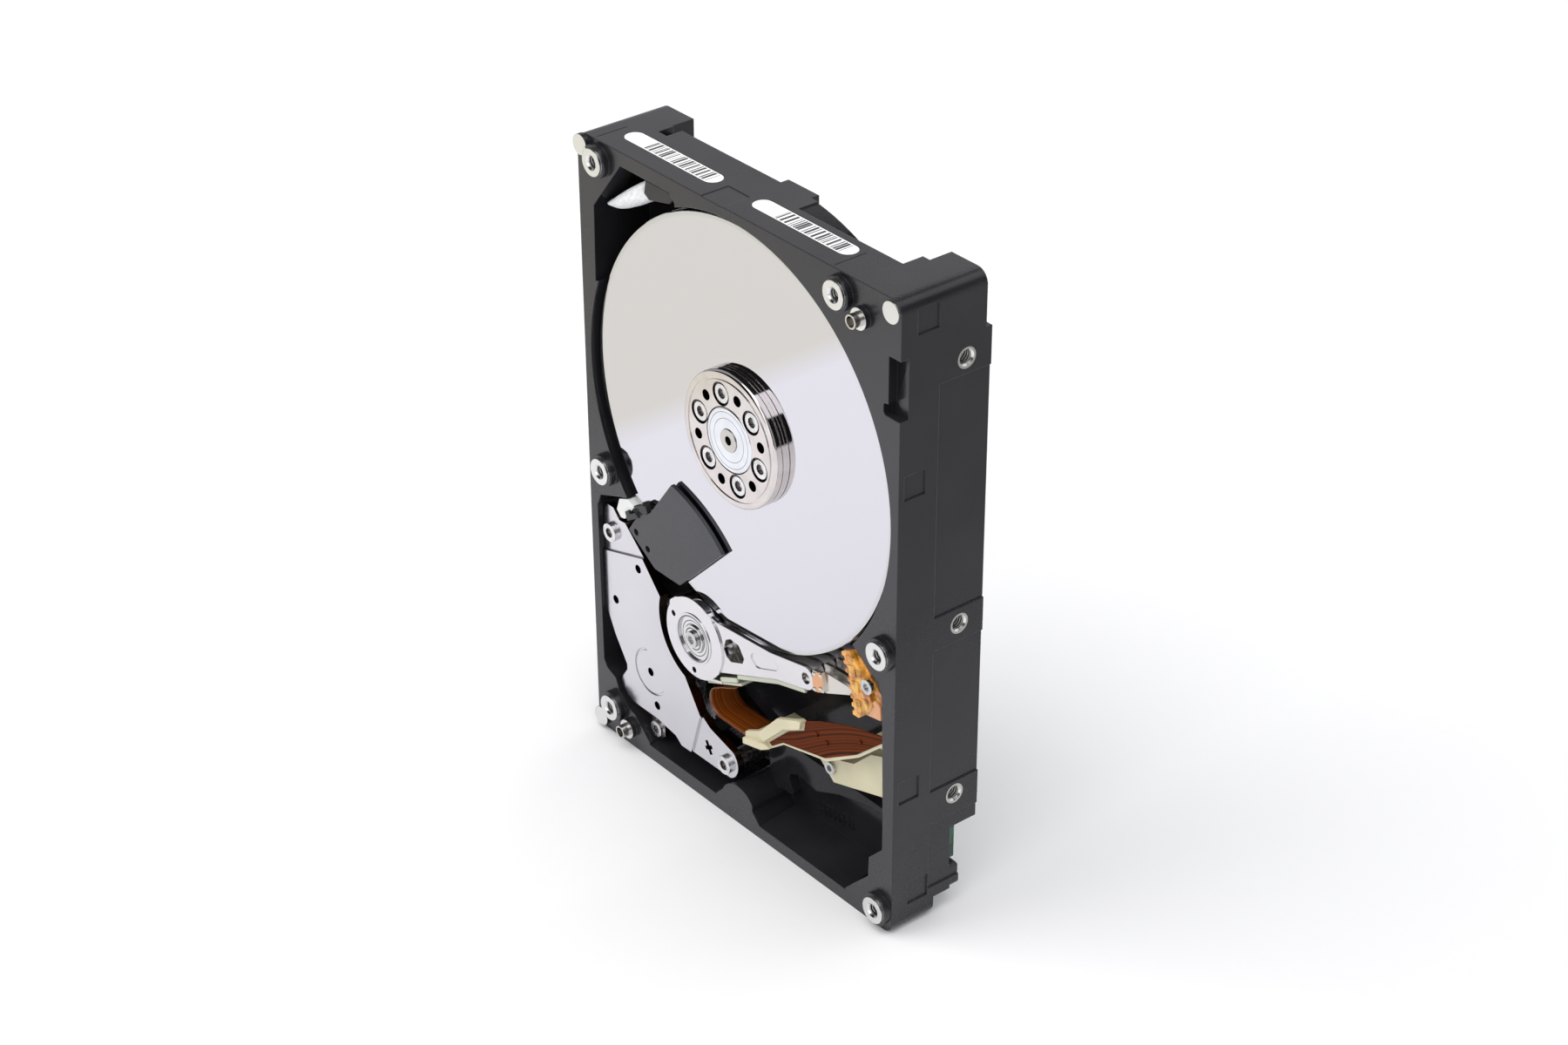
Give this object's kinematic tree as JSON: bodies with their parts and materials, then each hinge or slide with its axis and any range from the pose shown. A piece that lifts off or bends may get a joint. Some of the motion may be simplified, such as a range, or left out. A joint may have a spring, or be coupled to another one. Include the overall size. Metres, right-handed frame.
{
  "type": "hard disk drive",
  "caption": "Open 3.5-inch hard disk drive without its top cover: black cast base, mirror platters on a spindle, and a swinging head actuator parked on its ramp.",
  "frame": {"origin": "middle of the bounding box at the connector end, which is the end it stands on", "axes": "+Z along the length away from the connector end, +X across the width towards the long side with the visible mounting holes, +Y from the open platter side to the rear circuit board"},
  "size_m": [0.1016, 0.0262, 0.147],
  "materials": {
    "casting": "black electro-coat over die casting",
    "steel_pin": "turned",
    "pcb_green": "solder mask",
    "chip_black": "moulded",
    "passive_tan": "satin",
    "foam_grey": "foam",
    "screw_steel": "zinc plated",
    "connector_black": "moulded",
    "contact_gold": "gold flash",
    "shaft_steel": "ground",
    "stator_steel": "laminated",
    "copper_wire": "enamelled winding",
    "hub_nickel": "turned",
    "magnet_dark": "coated",
    "platter_mirror": "mirror polished",
    "spacer_aluminium": "turned",
    "clamp_steel": "turned, nickel plated",
    "yoke_nickel": "nickel plated",
    "magnet_nickel": "nickel plated",
    "standoff_steel": "turned",
    "rubber_black": "matte",
    "arm_aluminium": "machined, satin",
    "coil_plastic": "moulded",
    "beam_steel": "etched foil",
    "slider_ceramic": "polished",
    "flexure_cream": "polyimide",
    "ramp_amber": "translucent moulded",
    "damper_grey": "moulded",
    "plastic_white": "moulded",
    "filter_cloth": "non-woven cloth",
    "plastic_black": "moulded",
    "bracket_cream": "moulded",
    "flex_brown": "polyimide film",
    "label_white": "satin"
  },
  "bodies": {
    "chassis": {"base_casting": "casting", "locating_dowels": "steel_pin", "circuit_board": "pcb_green", "controller_chip": "chip_black", "memory_chip": "chip_black", "motor_driver_chip": "chip_black", "board_passives": "passive_tan", "board_insulator": "foam_grey", "board_screws": "screw_steel", "serial_connector": "connector_black", "connector_contacts": "contact_gold", "spindle_shaft": "shaft_steel", "stator_core": "stator_steel", "stator_coils": "copper_wire", "upper_yoke": "yoke_nickel", "lower_yoke": "yoke_nickel", "upper_magnet": "magnet_nickel", "lower_magnet": "magnet_nickel", "yoke_standoffs": "standoff_steel", "crash_stops": "rubber_black", "yoke_screws": "screw_steel", "tab_screw": "screw_steel", "pivot_shaft": "shaft_steel", "pivot_screw": "screw_steel", "ramp": "ramp_amber", "ramp_screw": "screw_steel", "air_damper": "damper_grey", "damper_retainer": "plastic_white", "recirculation_filter": "filter_cloth", "filter_holder": "plastic_black", "flex_bracket": "bracket_cream", "bracket_flex": "flex_brown", "feedthrough_block": "bracket_cream", "bracket_screw": "screw_steel", "flex_loop": "flex_brown", "end_label_left": "label_white", "end_label_right": "label_white"},
    "spindle": {"spindle_hub": "hub_nickel", "rotor_magnet": "magnet_dark", "platter_1": "platter_mirror", "platter_2": "platter_mirror", "platter_3": "platter_mirror", "platter_4": "platter_mirror", "platter_spacers": "spacer_aluminium", "disk_clamp": "clamp_steel", "clamp_screws": "screw_steel"},
    "actuator": {"pivot_bearing": "shaft_steel", "arm_block": "arm_aluminium", "voice_coil": "copper_wire", "coil_frame": "coil_plastic", "suspensions": "beam_steel", "head_sliders": "slider_ceramic", "beam_mounts": "beam_steel", "arm_flexures": "flexure_cream", "preamp_board": "flexure_cream", "preamp_chip": "chip_black"}
  },
  "joints": [
    {"name": "spindle_spin", "type": "hinge", "parent": "chassis", "child": "spindle", "pos_m": [0, -0.00395, 0.0962], "axis": [0, -1, 0], "continuous": true},
    {"name": "arm_swing", "type": "hinge", "parent": "chassis", "child": "actuator", "pos_m": [-0.0143, -0.00395, 0.0408], "axis": [0, -1, 0], "range_deg": [0, 38]}
  ]
}
